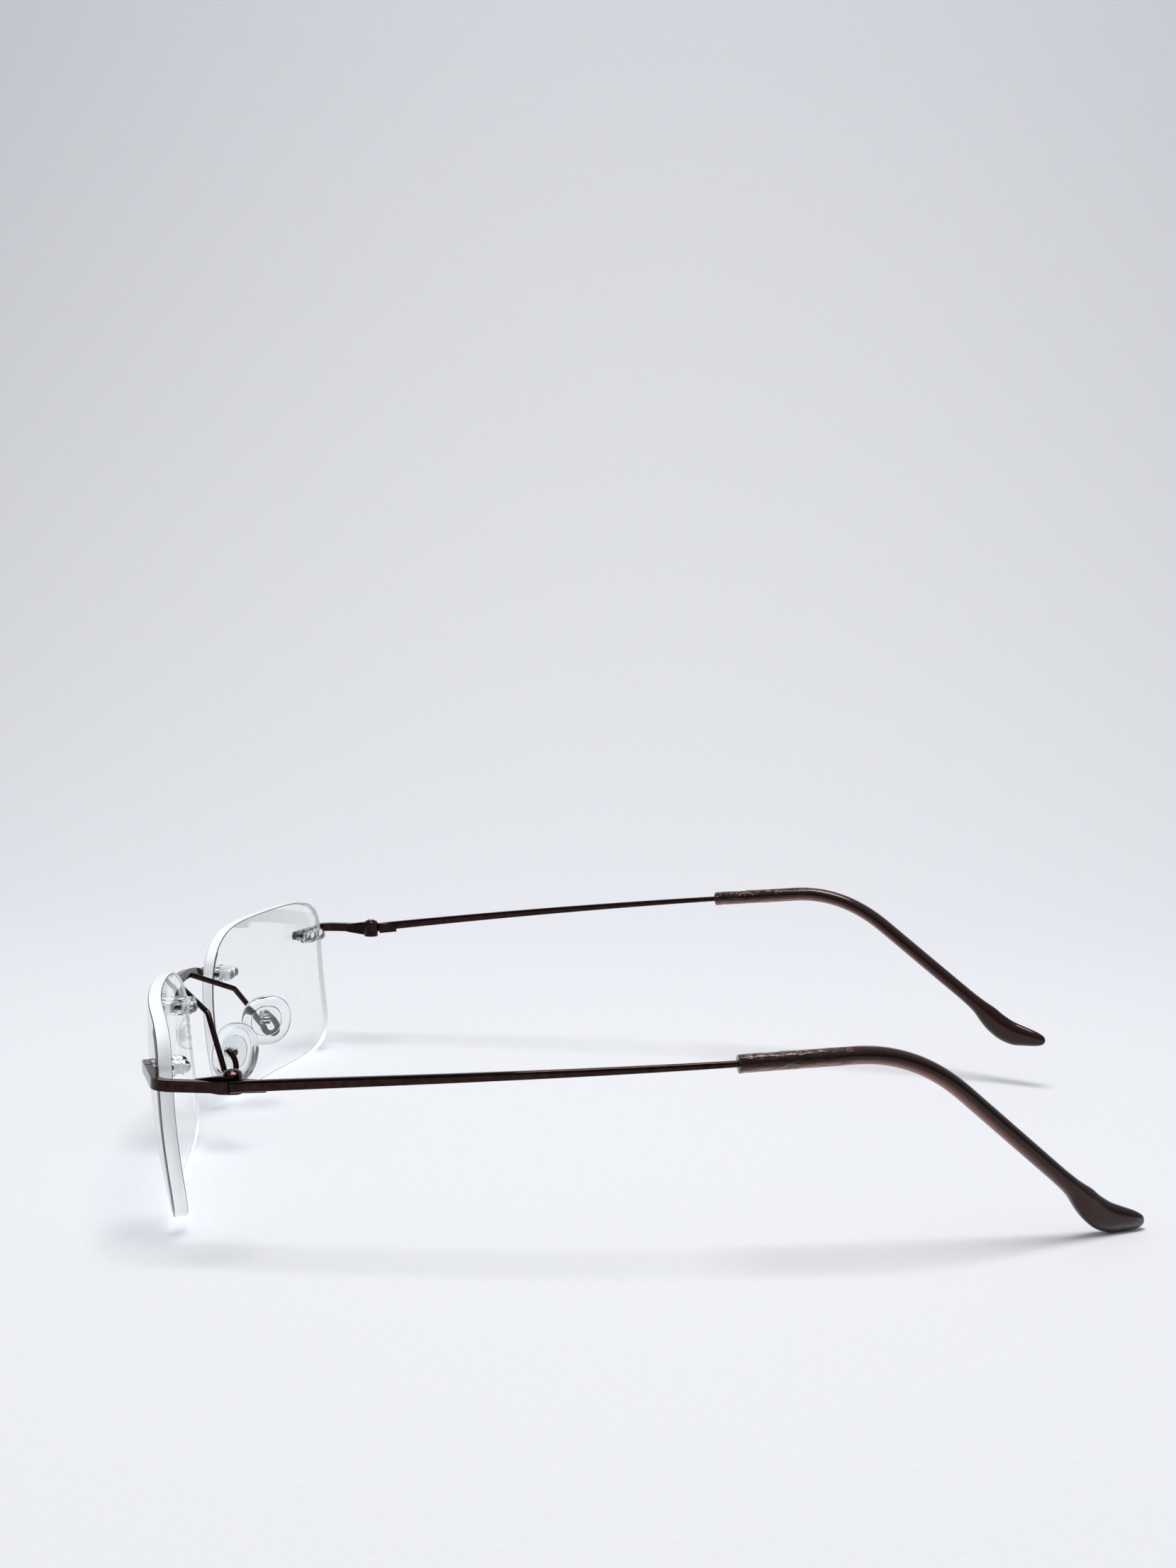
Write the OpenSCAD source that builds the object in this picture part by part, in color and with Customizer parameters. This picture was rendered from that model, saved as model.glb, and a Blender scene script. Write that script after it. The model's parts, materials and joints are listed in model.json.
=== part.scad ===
// Rimless spectacles: two drilled lenses carried by a bridge and two endpieces on plastic
// compression bushings, wire pad arms with rocking nose pads, and folding temples on
// three-knuckle screw hinges.
// +Z is up, the wearer faces -Y and +X is the wearer's left. The origin is on the resting
// surface, at the middle of the whole object.

/* [Lenses] */
// Width of one lens
lens_w = 52; // [48:0.5:56]
// Height of one lens
lens_h = 30.9; // [28:0.1:33]
// Distance between the two lenses
bridge_gap = 18; // [16:0.5:21]
// Thickness of a lens
lens_t = 2; // [1.6:0.1:2.4]
// Radius of the front surface of a lens
lens_r = 122; // [90:1:180]
// Angle by which each lens turns back towards the temple, in degrees
wrap = 11.4; // [8:0.1:13]
// Angle by which the lens tops lean forward, in degrees
tilt = 5.7; // [4:0.1:9]

/* [Lens mounts] */
// Distance of the bridge mount from the nasal edge of the lens
nasal_inset = 5.2; // [4.6:0.1:6]
// Distance of the endpiece mount from the outer edge of the lens
temporal_inset = 4.6; // [4:0.1:6]
// Height of the mounts above the middle of the lens
mount_rise = 8.2; // [7:0.1:9]
// Distance between the two posts of one mount
post_gap = 3; // [2.6:0.1:3.4]
// Radius of a post
post_r = 0.48; // [0.4:0.01:0.5]

/* [Bridge and pad arms] */
// Rise of the bridge bar above its lugs
bridge_rise = 2.2; // [1:0.1:3.5]
// Height of the bridge bar's section
bridge_bar_h = 1.5; // [1.2:0.1:1.8]
// Radius of the pad arm wire
pad_wire_r = 0.48; // [0.4:0.01:0.55]
// Length of one nose pad
pad_len = 10; // [9:0.5:14]
// Width of one nose pad
pad_w = 9; // [7:0.2:10]
// Angle by which the pads spread towards the bottom, in degrees
pad_splay = 15; // [15:1:30]
// Angle by which the pads open towards the face, in degrees
pad_flare = 22; // [15:1:30]

/* [Hinges] */
// Distance from the origin forward to the hinge axes
hinge_forward = 54.1; // [50:0.1:60]
// Distance from the middle of the frame to each hinge axis
hinge_half = 63.2; // [62:0.1:64.5]
// Distance from the middle of a lens back to the hinge axis
hinge_setback = 18.75; // [16:0.1:22]
// Height of the hinge middle above the resting surface
hinge_z = 23.6; // [19:0.1:24]
// Radius of the hinge barrel
barrel_r = 1.4; // [1.2:0.05:1.6]
// Radius of the hinge screw's shank
screw_r = 0.6; // [0.5:0.01:0.7]

/* [Temples] */
// Distance from the hinge back to the end of the temple
temple_reach = 130.5; // [120:0.5:140]
// Distance from the hinge back to the start of the tip sleeve
sleeve_start = 70; // [62:0.5:76]
// Distance from the hinge back to the ear bend
ear_bend = 95; // [88:0.5:102]
// Rise of the temple from the hinge to the ear bend
temple_rise = 5.5; // [4:0.1:8]
// Distance by which the temple end curves in towards the head
temple_inward = 23.2; // [10:0.2:26]
// Height of the temple bar's section at the hinge
bar_h = 1.6; // [1.4:0.1:2]
// Thickness of the temple bar's section at the hinge
bar_t = 1.2; // [1:0.1:1.4]
// Radius of the tip sleeve
sleeve_r = 1.3; // [1.1:0.05:1.5]
// Width of the flattened end of the tip
paddle_w = 4.4; // [3.6:0.1:5.4]
// Angle by which the right temple sits higher than the left one, in degrees
right_rack = 3.4; // [0:0.1:3.5]

/* [Hidden] */

$fn = 48;
metal_color = [0.20, 0.13, 0.11];
tip_color = [0.30, 0.12, 0.09];
clear_color = [0.92, 0.96, 0.97, 0.35];
silicone_color = [0.90, 0.94, 0.94, 0.5];

function power_sum(c, a, e) = pow(abs(c) / a, e);

// Lens outline: a closed curve whose four quarters have their own squareness.
corner_top_out = 5.4;
corner_top_in = 3.3;
corner_low_in = 4.4;
corner_low_out = 5.2;
outline_steps = 120;
corners = [corner_top_out, corner_top_in, corner_low_in, corner_low_out];
function corner_at(a) = corners[floor(a / 90)];
function outline_point(a) =
    let (e = corner_at(a),
         r = pow(power_sum(cos(a), lens_w / 2, e) + power_sum(sin(a), lens_h / 2, e), -1 / e))
    [r * cos(a), r * sin(a)];

// Where the middle of the left lens stands, and how a point on it maps to the whole frame.
rest_cut = 0.15;
lens_x = bridge_gap / 2 + lens_w / 2 * cos(wrap);
lens_y = -hinge_forward - hinge_setback;
lens_z = lens_h / 2 * cos(tilt) - rest_cut;
function sphere_drop(u, v, n) = lens_r - sqrt(pow(lens_r - n, 2) - u * u - v * v);
function tilted(p) = [p.x, p.y * cos(tilt) - p.z * sin(tilt), p.y * sin(tilt) + p.z * cos(tilt)];
function wrapped(p) = [p.x * cos(wrap) - p.y * sin(wrap), p.x * sin(wrap) + p.y * cos(wrap), p.z];
function lens_point(u, v, n) =
    [lens_x, lens_y, lens_z] + wrapped(tilted([u, sphere_drop(u, v, n), v]));

// Mounts, counted outwards from the middle of the lens.
nasal_u = nasal_inset - lens_w / 2;
temporal_u = lens_w / 2 - temporal_inset;
gasket_t = 0.4;
lug_t = 1;
lug_r = 0.85;
hole_r = 0.8;
sleeve_fit = 0.02;
post_len = 2.6;
bushing_lift = 0.03;
base_r = 1.35;
base_h = 0.6;
ring_r = 1.15;
cap_r = 0.95;
plug_len = 2.1;
ring_h = 0.5;
ring_gap = 0.1;
ring_pitch = 0.75;

// Hinge: a stack of three knuckles round the screw.
knuckle_h = 1;
knuckle_gap = 0.05;
outer_knuckle_h = 0.75;
leaf_t = 0.6;
leaf_len = 5;
leaf_root = 1.55;
leaf_lap = 0.1;
stack_h = knuckle_h + 2 * (knuckle_gap + outer_knuckle_h);
pin_clearance = 0.05;
head_r = 1.3;
head_h = 0.75;
head_dome_r = 1.94;
bar_clearance = 0.1;
bar_x = hinge_half + barrel_r + bar_clearance + bar_t / 2;
bar_end_gap = 0.06;

// Temple centreline, counted back from the hinge.
inward_power = 2.7;
neck_back = 12;
neck_z = 8.4;
tip_z = 2.3;
bar_tip = 0.95;
wire_r = 0.42;
function inward(s) = temple_inward * pow(s / temple_reach, inward_power);
function rise(s) = hinge_z + temple_rise * pow(s / ear_bend, 0.9);
function temple_point(s) = [bar_x - inward(s), s - hinge_forward, rise(s)];
neck_s = temple_reach - neck_back;
bend_point = temple_point(ear_bend);
neck_point = [bar_x - inward(neck_s), neck_s - hinge_forward, neck_z];
end_point = [bar_x - inward(temple_reach), temple_reach - paddle_w / 2 - hinge_forward, tip_z];
bend_in = 9;
sleeve_point = temple_point(sleeve_start);
before_bend = temple_point(ear_bend - bend_in);
after_bend = bend_point + (neck_point - bend_point) * 0.32;
bend_steps = 3;
function bend_curve(t) =
    (1 - t) * (1 - t) * before_bend + 2 * t * (1 - t) * bend_point + t * t * after_bend;

// Nose pad and the small clear box that holds it.
pad_at = [12.8, -hinge_forward - 11.1, 15.8];
pad_t = 2.2;
pad_dome_r = 13;
box_in_w = 1;
box_wall = 0.25;
box_h = 1.6;
box_d = 1.1;
stem_clearance = 0.06;
stem_h = 1.2;
pad_screw_r = 0.3;
box_lift = 0.35;
core_t = 0.45;
core_shrink = 0.55;
oval_steps = 64;
function oval_point(a, l, w) =
    let (e = 2.3, r = pow(power_sum(cos(a), w / 2, e) + power_sum(sin(a), l / 2, e), -1 / e))
    [r * cos(a), r * sin(a)];

// Pad arm route, from the bridge to the pad box.
arm_elbow = [10, -hinge_forward - 16.1, 21.7];
arm_low = [16, -hinge_forward - 12.1, 14.1];
turn_r = 1.05;

module left_to_right(side) {
    if (side > 0) children();
    else mirror([1, 0, 0]) children();
}

module on_lens() {
    translate([lens_x, lens_y, lens_z]) rotate([0, 0, wrap]) rotate([tilt, 0, 0]) children();
}

// Stands children on the front surface of the lens with +Y going straight into it.
module at_mount(u) {
    on_lens()
        translate([0, lens_r, 0])
            rotate([0, 0, asin(u / lens_r)])
                rotate([-asin(mount_rise / lens_r), 0, 0])
                    translate([0, -lens_r, 0])
                        children();
}

module along_y(r, start, end) {
    translate([0, start, 0]) rotate([-90, 0, 0]) cylinder(r = r, h = end - start);
}

module at_posts() {
    for (x = [-post_gap / 2, post_gap / 2]) translate([x, 0, 0]) children();
}

// A plate with round ends that spans the two posts.
module oval_plate(r, start, end) {
    at_posts() along_y(r, start, end);
    translate([-post_gap / 2, start, -r]) cube([post_gap, end - start, 2 * r]);
}

module lens(side) {
    left_to_right(side) color(clear_color) difference() {
        intersection() {
            on_lens() difference() {
                intersection() {
                    rotate([90, 0, 0]) linear_extrude(height = 16, center = true)
                        polygon([for (i = [0 : outline_steps - 1]) outline_point(i * 360 / outline_steps)]);
                    translate([0, lens_r, 0]) sphere(r = lens_r, $fn = 240);
                }
                translate([0, lens_r, 0]) sphere(r = lens_r - lens_t, $fn = 240);
            }
            translate([0, lens_y - 30, 0]) cube([80, 60, 60]);
        }
        for (u = [nasal_u, temporal_u]) at_mount(u) at_posts() along_y(hole_r, -2, lens_t + 2);
    }
}

module gasket(side, u) {
    left_to_right(side) color(clear_color) at_mount(u) difference() {
        oval_plate(lug_r + 0.1, -gasket_t, 0);
        at_posts() along_y(post_r + sleeve_fit, -1, 1);
    }
}

// One ringed plug: it lines the lens hole and ends in a rounded cap behind the lens.
module bushing_plug() {
    base = lens_t + bushing_lift;
    along_y(hole_r - sleeve_fit, 0, base + 0.1);
    for (ring = [0 : 1]) {
        start = base + base_h + ring_gap + ring * ring_pitch;
        along_y(ring_r, start, start + ring_h);
    }
    along_y(cap_r, base, base + plug_len);
    translate([0, base + plug_len, 0]) sphere(r = cap_r);
}

module bushing(side, u) {
    left_to_right(side) color(clear_color) at_mount(u) difference() {
        union() {
            oval_plate(base_r, lens_t + bushing_lift, lens_t + bushing_lift + base_h);
            at_posts() bushing_plug();
        }
        at_posts() along_y(post_r + sleeve_fit, -1, post_len);
    }
}

// The lug on the front of the lens, with the two posts that go through it.
module lug_with_posts(u) {
    at_mount(u) {
        oval_plate(lug_r, -gasket_t - lug_t, -gasket_t);
        at_posts() along_y(post_r, -gasket_t - lug_t / 2, post_len - 0.1);
    }
}

bridge_lug = lens_point(nasal_u, mount_rise, -gasket_t - lug_t / 2);
bridge_half = bridge_lug.x - 1.2;
bridge_bar_t = 1.2;
bridge_arc_r = (pow(bridge_half, 2) + pow(bridge_rise, 2)) / (2 * bridge_rise);
bridge_half_angle = asin(bridge_half / bridge_arc_r);
bridge_lean = 12;

module bridge_bar() {
    translate([0, bridge_lug.y, bridge_lug.z]) rotate([bridge_lean, 0, 0])
        translate([0, 0, bridge_rise - bridge_arc_r]) rotate([90, 0, 0])
            rotate([0, 0, 90 - bridge_half_angle])
                rotate_extrude(angle = 2 * bridge_half_angle, $fn = 240)
                    translate([bridge_arc_r - bridge_bar_h / 2, -bridge_bar_t / 2])
                        square([bridge_bar_h, bridge_bar_t]);
}

// Everything in front of the bar's back face, where the pad arms are soldered on.
module bridge_back() {
    translate([0, bridge_lug.y + bridge_bar_t / 2, bridge_lug.z]) rotate([bridge_lean, 0, 0])
        translate([-10, -20, -10]) cube([20, 20, 20]);
}

// A thick web that joins the bar to each lug. It stays just inside both.
flare_inset = 0.12;
module bridge_flare() {
    hull() {
        at_mount(nasal_u) translate([-post_gap / 2, -gasket_t, 0])
            along_y(lug_r - flare_inset, flare_inset - lug_t, -flare_inset, $fn = 32);
        translate([bridge_half - 1.6, bridge_lug.y - bridge_bar_t / 2 + flare_inset, bridge_lug.z - 0.35])
            cube([0.1, bridge_bar_t - 2 * flare_inset, bridge_bar_h]);
    }
}

module bridge() {
    color(metal_color) {
        bridge_bar();
        for (side = [1, -1]) left_to_right(side) {
            lug_with_posts(nasal_u);
            bridge_flare();
        }
    }
}

// Endpiece: leaves the lug along the lens, turns back round one corner and meets the temple.
endpiece_lug = lens_point(temporal_u, mount_rise, -gasket_t - lug_t / 2);
leave_angle = wrap + asin(temporal_u / lens_r);
turn_angle = 90 - leave_angle;
corner_r = 3;
corner_reach = corner_r * tan(turn_angle / 2);
leave_len = (bar_x - endpiece_lug.x) / cos(leave_angle) - corner_reach;
corner_y = endpiece_lug.y + (leave_len + corner_reach) * sin(leave_angle) + corner_reach;

corner_steps = 16;
function leave_point(off) =
    [endpiece_lug.x - off * sin(leave_angle), endpiece_lug.y + off * cos(leave_angle)];
function corner_point(a, off) =
    [bar_x - corner_r + (corner_r - off) * cos(a), corner_y + (corner_r - off) * sin(a)];
// One edge of the bar seen from above: off is how far it lies to the inner side of the middle line.
function bar_edge(off) = concat(
    [leave_point(off)],
    [for (i = [0 : corner_steps]) corner_point(-turn_angle * (1 - i / corner_steps), off)],
    [[bar_x - off, -hinge_forward - bar_end_gap]]);
function backwards(list) = [for (i = [len(list) - 1 : -1 : 0]) list[i]];

module endpiece(side) {
    left_to_right(side) color(metal_color) {
        lug_with_posts(temporal_u);
        translate([0, 0, hinge_z - bar_h / 2]) linear_extrude(height = bar_h)
            polygon(concat(bar_edge(-bar_t / 2), backwards(bar_edge(bar_t / 2))));
    }
}

module at_hinge(side) {
    left_to_right(side) translate([hinge_half, -hinge_forward, hinge_z]) children();
}

// A leaf plate on the inner face of the bar: tall by the barrel, narrowing to the bar's height.
module leaf_plate(tall) {
    translate([barrel_r + bar_clearance, 0, 0]) rotate([0, -90, 0]) linear_extrude(height = leaf_t)
        polygon([[-tall / 2, leaf_root], [tall / 2, leaf_root],
                 [bar_h / 2, leaf_len], [-bar_h / 2, leaf_len]]);
}

// A knuckle, low to high, and the short web that runs from it into its leaf plate.
module knuckle(low, high) {
    translate([0, 0, low]) cylinder(r = barrel_r, h = high - low);
    translate([barrel_r + bar_clearance - leaf_t, 0, low]) cube([leaf_t, leaf_root + leaf_lap, high - low]);
}

module hinge_front_leaf(side) {
    color(metal_color) at_hinge(side) mirror([0, 1, 0]) difference() {
        union() {
            leaf_plate(stack_h);
            knuckle(-stack_h / 2, -stack_h / 2 + outer_knuckle_h);
            knuckle(stack_h / 2 - outer_knuckle_h, stack_h / 2);
        }
        cylinder(r = screw_r + sleeve_fit, h = 2 * stack_h, center = true);
    }
}

// The knuckle stays upright on the screw, and the plate follows the temple bar it is soldered to.
module hinge_temple_leaf(side) {
    color(metal_color) at_hinge(side) difference() {
        union() {
            rotate([side > 0 ? 0 : right_rack, 0, 0]) leaf_plate(stack_h - 0.6);
            knuckle(-knuckle_h / 2, knuckle_h / 2);
        }
        cylinder(r = screw_r + pin_clearance, h = 2 * stack_h, center = true);
    }
}

module hinge_screw(side) {
    slot_w = 0.35;
    slot_d = 0.22;
    color(metal_color) at_hinge(side) difference() {
        union() {
            translate([0, 0, -stack_h / 2 - 0.15]) cylinder(r = screw_r, h = stack_h + 0.2);
            translate([0, 0, stack_h / 2 + 0.02]) intersection() {
                cylinder(r = head_r, h = head_h);
                translate([0, 0, head_h - head_dome_r]) sphere(r = head_dome_r);
            }
        }
        translate([-head_r - 1, -slot_w / 2, stack_h / 2 + 0.02 + head_h - slot_d])
            cube([2 * head_r + 2, slot_w, 1]);
    }
}

// Turns the right temple up about its hinge, and leaves the left one as it is.
module racked(side) {
    if (side > 0) children();
    else translate([0, -hinge_forward, hinge_z]) rotate([right_rack, 0, 0])
        translate([0, hinge_forward, -hinge_z]) children();
}

bar_steps = 10;
function station(i) = bar_end_gap + (sleeve_start - 0.05 - bar_end_gap) * i / bar_steps;
function taper(s, full) = bar_tip + (full - bar_tip) * (1 - s / sleeve_start);
function plan_edge(way) = [for (i = [0 : bar_steps])
    [temple_point(station(i)).x + way * taper(station(i), bar_t) / 2, temple_point(station(i)).y]];
function side_edge(way) = [for (i = [0 : bar_steps])
    [temple_point(station(i)).y, temple_point(station(i)).z + way * taper(station(i), bar_h) / 2]];

// The tapering bar: its outline from above crossed with its outline from the side.
module temple_bar() {
    intersection() {
        linear_extrude(height = 60) polygon(concat(plan_edge(1), backwards(plan_edge(-1))));
        rotate([90, 0, 90]) linear_extrude(height = 90)
            polygon(concat(side_edge(1), backwards(side_edge(-1))));
    }
}

// The ball at a bend is this much larger than the rods, so that they never share a tangent.
ball_swell = 0.03;

tip_route = concat(
    [sleeve_point, before_bend],
    [for (i = [1 : bend_steps]) bend_curve(i / bend_steps)],
    [neck_point]);

module rod(a, b, r) {
    way = b - a;
    translate(a) rotate([0, acos(way.z / norm(way)), atan2(way.y, way.x)])
        cylinder(r = r, h = norm(way));
}

module ball(p, r) {
    translate(p) sphere(r = r + ball_swell);
}

// The wire runs straight back into the bar by wire_root, and has a ball at every bend.
wire_root = 1.2;
module core_wire(r) {
    for (i = [0 : len(tip_route) - 2]) {
        way = tip_route[i + 1] - tip_route[i];
        back = i == 0 ? wire_root / norm(way) : 0;
        rod(tip_route[i] - way * back, tip_route[i + 1], r);
        ball(tip_route[i + 1], r);
    }
}

module temple(side) {
    left_to_right(side) racked(side) color(metal_color) {
        temple_bar();
        core_wire(wire_r);
    }
}

module tip_ball(p, r) {
    translate(p) sphere(r = r + ball_swell, $fn = 24);
}

module paddle_ball(p, high) {
    translate(p) rotate([-30, 0, 0]) scale([0.6, 1, 1]) sphere(r = high / 2, $fn = 24);
}

// The sleeve thickens by tip_growth from each bend to the next.
tip_growth = 0.06;
module tip_body() {
    rod(sleeve_point, before_bend, sleeve_r);
    for (i = [1 : bend_steps + 1]) hull() {
        tip_ball(tip_route[i], sleeve_r + (i - 1) * tip_growth);
        tip_ball(tip_route[i + 1], sleeve_r + i * tip_growth);
    }
    hull() {
        tip_ball(neck_point, sleeve_r + (bend_steps + 1) * tip_growth);
        paddle_ball((neck_point + end_point) / 2, paddle_w);
    }
    hull() {
        paddle_ball((neck_point + end_point) / 2, paddle_w);
        paddle_ball(end_point, paddle_w);
    }
}

module temple_tip(side) {
    left_to_right(side) racked(side) color(tip_color) intersection() {
        difference() {
            tip_body();
            core_wire(wire_r + sleeve_fit);
        }
        cube([200, 300, 100], center = false);
    }
}

// Nose pad axes: +X points away from the nose and +Z up the pad.
module at_pad(side) {
    left_to_right(side) translate(pad_at)
        rotate([0, 0, -pad_flare]) rotate([0, -pad_splay, 0]) children();
}

module pad_oval(l, w, low, high) {
    translate([low, 0, 0]) rotate([90, 0, 90]) linear_extrude(height = high - low)
        polygon([for (i = [0 : oval_steps - 1]) oval_point(i * 360 / oval_steps, l, w)]);
}

module nose_pad(side) {
    color(silicone_color) at_pad(side) difference() {
        intersection() {
            pad_oval(pad_len, pad_w, -pad_t, 0);
            translate([pad_dome_r - pad_t, 0, 0]) sphere(r = pad_dome_r, $fn = 96);
        }
        pad_oval(pad_len * core_shrink, pad_w * core_shrink, -core_t, 1);
    }
}

module pad_core(side) {
    color(clear_color) at_pad(side) difference() {
        union() {
            pad_oval(pad_len * core_shrink - 0.04, pad_w * core_shrink - 0.04, -core_t + 0.02, 0);
            translate([-0.1, -box_in_w / 2 + stem_clearance, -stem_h / 2])
                cube([box_lift + box_d, box_in_w - 2 * stem_clearance, stem_h]);
        }
        translate([box_lift + box_d / 2 - 0.1, 0, 0]) along_y(pad_screw_r + pin_clearance, -3, 3);
    }
}

module pad_box(side) {
    outside = box_in_w + 2 * box_wall;
    color(clear_color) at_pad(side) difference() {
        translate([box_lift, -outside / 2, -box_h / 2]) cube([box_d + box_wall, outside, box_h]);
        translate([box_lift - 1, -box_in_w / 2, -box_h]) cube([box_d + 1, box_in_w, 2 * box_h]);
        translate([box_lift + box_d / 2 - 0.1, 0, 0]) along_y(pad_screw_r + 0.01, -3, 3);
    }
}

module pad_screw(side) {
    reach = box_in_w / 2 + box_wall;
    color(metal_color) at_pad(side) translate([box_lift + box_d / 2 - 0.1, 0, 0]) {
        along_y(pad_screw_r, -reach, reach + 0.1);
        along_y(0.5, reach + 0.02, reach + 0.27);
    }
}

// Puts a point of the pad's own axes into the whole frame.
function pad_point(p) =
    let (across = p.x * cos(pad_splay) - p.z * sin(pad_splay),
         up = p.x * sin(pad_splay) + p.z * cos(pad_splay))
    pad_at + [across * cos(pad_flare) + p.y * sin(pad_flare),
              p.y * cos(pad_flare) - across * sin(pad_flare), up];

arm_start = [4.2, bridge_lug.y, bridge_lug.z + 1.6];
arm_end = pad_point([box_lift + box_d + box_wall + pad_wire_r * 0.7, 0.3, 0.2]);
turn_end = arm_low + [0, 2 * turn_r, 0];

module pad_arm(side) {
    left_to_right(side) color(metal_color) difference() {
        union() {
            rod(arm_start, arm_elbow, pad_wire_r);
            ball(arm_elbow, pad_wire_r);
            rod(arm_elbow, arm_low, pad_wire_r);
            ball(arm_low, pad_wire_r);
            translate(arm_low + [0, turn_r, 0]) rotate([0, 90, 0]) rotate([0, 0, -90])
                rotate_extrude(angle = 180, $fn = 96) translate([turn_r, 0]) circle(r = pad_wire_r);
            ball(turn_end, pad_wire_r);
            rod(turn_end, arm_end, pad_wire_r);
        }
        bridge_back();
        translate(pad_at) rotate([0, 0, -pad_flare]) rotate([0, -pad_splay, 0])
            translate([box_lift - 2, -2, -box_h / 2]) cube([box_d + box_wall + 2, 4, box_h]);
    }
}

lens(1);  // lens_left
lens(-1);  // lens_right
bridge();
gasket(1, nasal_u);  // gasket_bridge_left
gasket(-1, nasal_u);  // gasket_bridge_right
gasket(1, temporal_u);  // gasket_endpiece_left
gasket(-1, temporal_u);  // gasket_endpiece_right
bushing(1, nasal_u);  // bushing_bridge_left
bushing(-1, nasal_u);  // bushing_bridge_right
bushing(1, temporal_u);  // bushing_endpiece_left
bushing(-1, temporal_u);  // bushing_endpiece_right
endpiece(1);  // endpiece_left
endpiece(-1);  // endpiece_right
pad_arm(1);  // pad_arm_left
pad_arm(-1);  // pad_arm_right
pad_box(1);  // pad_box_left
pad_box(-1);  // pad_box_right
pad_screw(1);  // pad_screw_left
pad_screw(-1);  // pad_screw_right
pad_core(1);  // pad_core_left
pad_core(-1);  // pad_core_right
nose_pad(1);  // nose_pad_left
nose_pad(-1);  // nose_pad_right
hinge_front_leaf(1);  // hinge_front_leaf_left
hinge_front_leaf(-1);  // hinge_front_leaf_right
hinge_temple_leaf(1);  // hinge_temple_leaf_left
hinge_temple_leaf(-1);  // hinge_temple_leaf_right
hinge_screw(1);  // hinge_screw_left
hinge_screw(-1);  // hinge_screw_right
temple(1);  // temple_left
temple(-1);  // temple_right
temple_tip(1);  // temple_tip_left
temple_tip(-1);  // temple_tip_right
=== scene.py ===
"""Rimless eyeglasses: the looks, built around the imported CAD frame. Metres, +Z up, the wearer faces -Y."""

import bpy
import json
import math
import numpy as np
from mathutils import Matrix, Vector, noise


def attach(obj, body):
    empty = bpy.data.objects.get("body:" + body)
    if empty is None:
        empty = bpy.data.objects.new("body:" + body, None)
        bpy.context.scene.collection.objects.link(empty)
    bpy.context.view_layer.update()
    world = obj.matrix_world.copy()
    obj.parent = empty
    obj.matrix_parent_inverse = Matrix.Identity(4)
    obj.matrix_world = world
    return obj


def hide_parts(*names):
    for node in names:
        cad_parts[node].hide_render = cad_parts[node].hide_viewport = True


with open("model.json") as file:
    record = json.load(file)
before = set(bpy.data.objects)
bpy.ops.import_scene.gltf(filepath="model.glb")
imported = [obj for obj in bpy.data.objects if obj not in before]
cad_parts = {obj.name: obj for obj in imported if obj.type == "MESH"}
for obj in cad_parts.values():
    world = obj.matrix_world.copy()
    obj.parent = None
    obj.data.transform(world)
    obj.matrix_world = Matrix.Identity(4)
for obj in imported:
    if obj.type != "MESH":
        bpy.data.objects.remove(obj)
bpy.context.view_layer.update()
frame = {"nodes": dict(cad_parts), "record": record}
MM = 0.001
SIDES = (("left", 1), ("right", -1))

# ---------------------------------------------------------------- sizes in millimetres, as in the CAD model
LENS_W, LENS_H, LENS_T, LENS_R = 52.0, 30.9, 2.0, 122.0
GAP, WRAP, TILT = 18.0, math.radians(11.4), math.radians(5.7)
CORNERS = (5.4, 3.3, 4.4, 5.2)
REST_CUT = 0.15
NASAL_INSET, TEMPORAL_INSET, MOUNT_V, POST_GAP = 5.2, 4.6, 8.2, 3.0
NASAL_U, TEMPORAL_U = NASAL_INSET - LENS_W / 2, LENS_W / 2 - TEMPORAL_INSET
GASKET_T, LUG_T, HOLE_R = 0.4, 1.0, 0.8
HINGE_X, HINGE_Y, HINGE_Z = 63.2, -54.1, 23.6
SETBACK = 18.75
REACH, SLEEVE_START, EAR_BEND = 130.5, 70.0, 95.0
RISE, RISE_POWER, INWARD, INWARD_POWER = 5.5, 0.9, 23.2, 2.7
BAR_H, BAR_T, BAR_TIP, BAR_END_GAP = 1.6, 1.2, 0.95, 0.06
BARREL_R, BAR_CLEARANCE = 1.4, 0.1
BAR_X = HINGE_X + BARREL_R + BAR_CLEARANCE + BAR_T / 2
SLEEVE_R, NECK_Z, NECK_BACK, BEND_IN = 1.3, 8.4, 12.0, 9.0
RACK = math.radians(3.4)
PAD_L, PAD_W, PAD_T = 10.0, 9.0, 2.2
PAD_SPLAY, PAD_FLARE = math.radians(15.0), math.radians(22.0)
PAD_AT = Vector((12.8, HINGE_Y - 11.1, 15.8))
PAD_WIRE_R = 0.48
CORE_SHARE = 0.55
BOX_LIFT, BOX_DEPTH, BOX_WALL = 0.35, 1.1, 0.25
CORE_WIRE_R = 0.42

# Only in this script: the lens's polished chamfer, and the wrinkles where each sleeve starts.
LENS_CHAMFER = 0.12
WRINKLE_REACH, WRINKLE_DEPTH = 20.0, 0.11
WRINKLE_SCALE = Vector((2.2, 1.1, 2.2))
SHARP = math.radians(32)


# ---------------------------------------------------------------- camera
CAMERA_AT = Vector((0.32703, 0.00502, 0.09189))
CAMERA_YAW, CAMERA_PITCH, CAMERA_ROLL = math.radians(2.28), math.radians(5.51), math.radians(1.03)
CAMERA_LONG_ANGLE = math.radians(43.72)


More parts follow.
